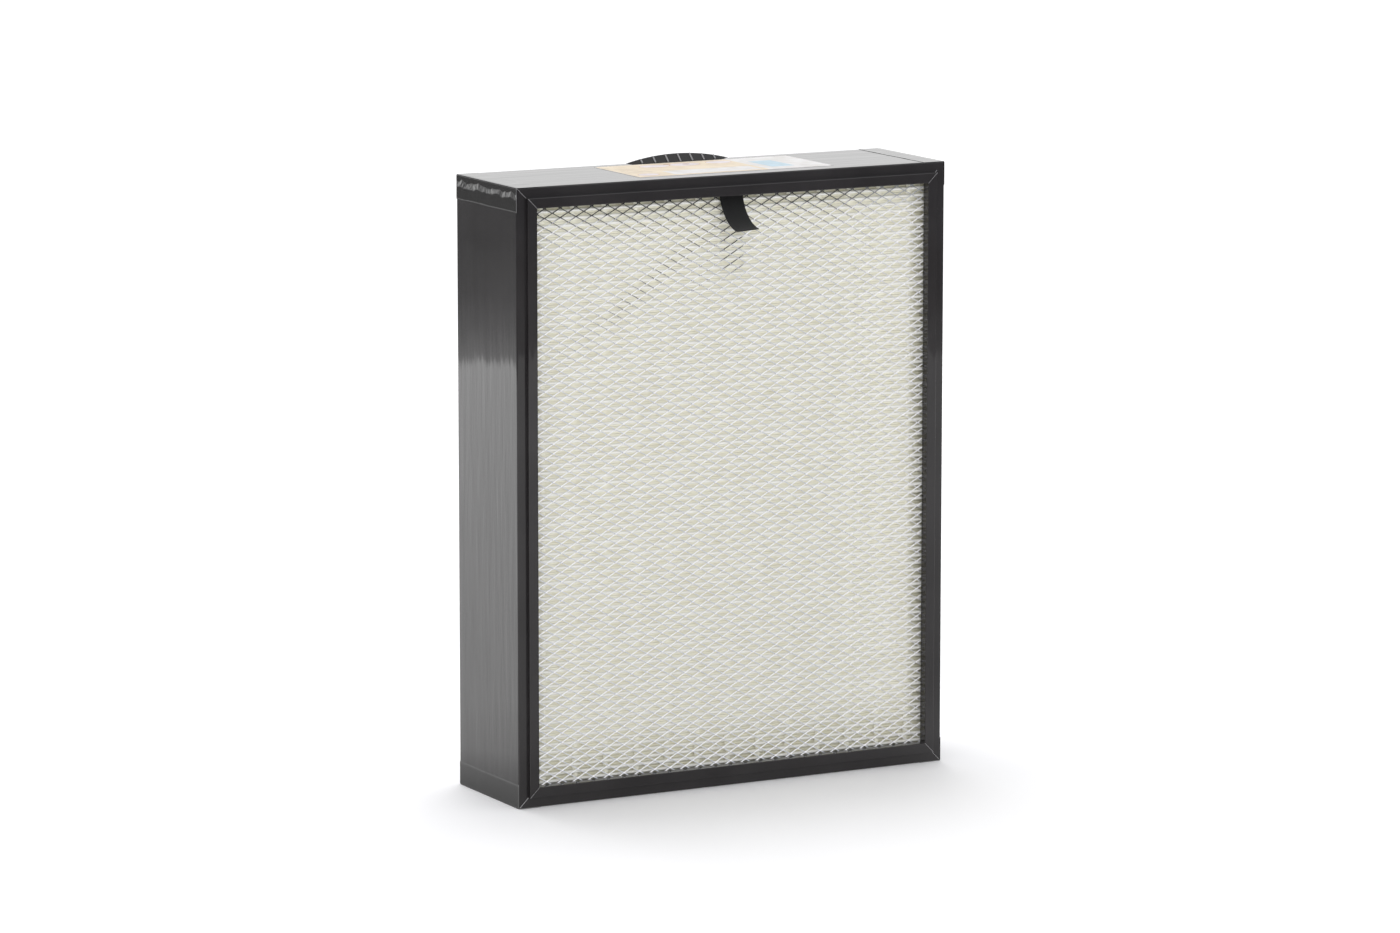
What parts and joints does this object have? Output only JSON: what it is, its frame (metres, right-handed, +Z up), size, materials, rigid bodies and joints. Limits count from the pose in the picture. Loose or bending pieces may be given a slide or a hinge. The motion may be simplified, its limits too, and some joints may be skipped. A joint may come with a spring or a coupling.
{
  "type": "hepa filter panel",
  "caption": "Rectangular pleated air filter panel: folded paper pack in a mitred dark channel frame, with diamond mesh guards, ribbon pull tab and rear foam seal.",
  "frame": {"origin": "middle of the panel's underside, halfway through the frame's depth, in the plane that it stands on", "axes": "+X along the width to the right seen from the front, +Y from the front face to the sealed rear, +Z up"},
  "size_m": [0.3554, 0.1212, 0.4597],
  "materials": {
    "frame_plastic": "satin charcoal extruded plastic",
    "key_plastic": "black moulded plastic",
    "film_tape": "thin glossy film tape",
    "adhesive": "set potting adhesive",
    "seal_foam": "closed-cell foam strip",
    "guard_metal": "slit and stretched sheet",
    "media_paper": "off-white glass-fibre filter paper",
    "ribbon": "woven black ribbon",
    "label_paper": "coated paper label with plain colour fields",
    "grip_rubber": "black moulded rubber"
  },
  "bodies": {
    "root": {"bottom_adhesive": "adhesive", "bottom_rail": "frame_plastic", "corner_key_bottom_left": "key_plastic", "corner_key_bottom_right": "key_plastic", "corner_key_top_left": "key_plastic", "corner_key_top_right": "key_plastic", "corner_tape_bottom_left": "film_tape", "corner_tape_bottom_right": "film_tape", "corner_tape_top_left": "film_tape", "corner_tape_top_right": "film_tape", "finger_grip": "grip_rubber", "front_guard": "guard_metal", "left_adhesive": "adhesive", "left_rail": "frame_plastic", "media_pack": "media_paper", "pull_tab": "ribbon", "rear_guard": "guard_metal", "right_adhesive": "adhesive", "right_rail": "frame_plastic", "seal_bottom": "seal_foam", "seal_left": "seal_foam", "seal_right": "seal_foam", "seal_top": "seal_foam", "top_adhesive": "adhesive", "top_label": "label_paper", "top_rail": "frame_plastic"}
  },
  "joints": []
}
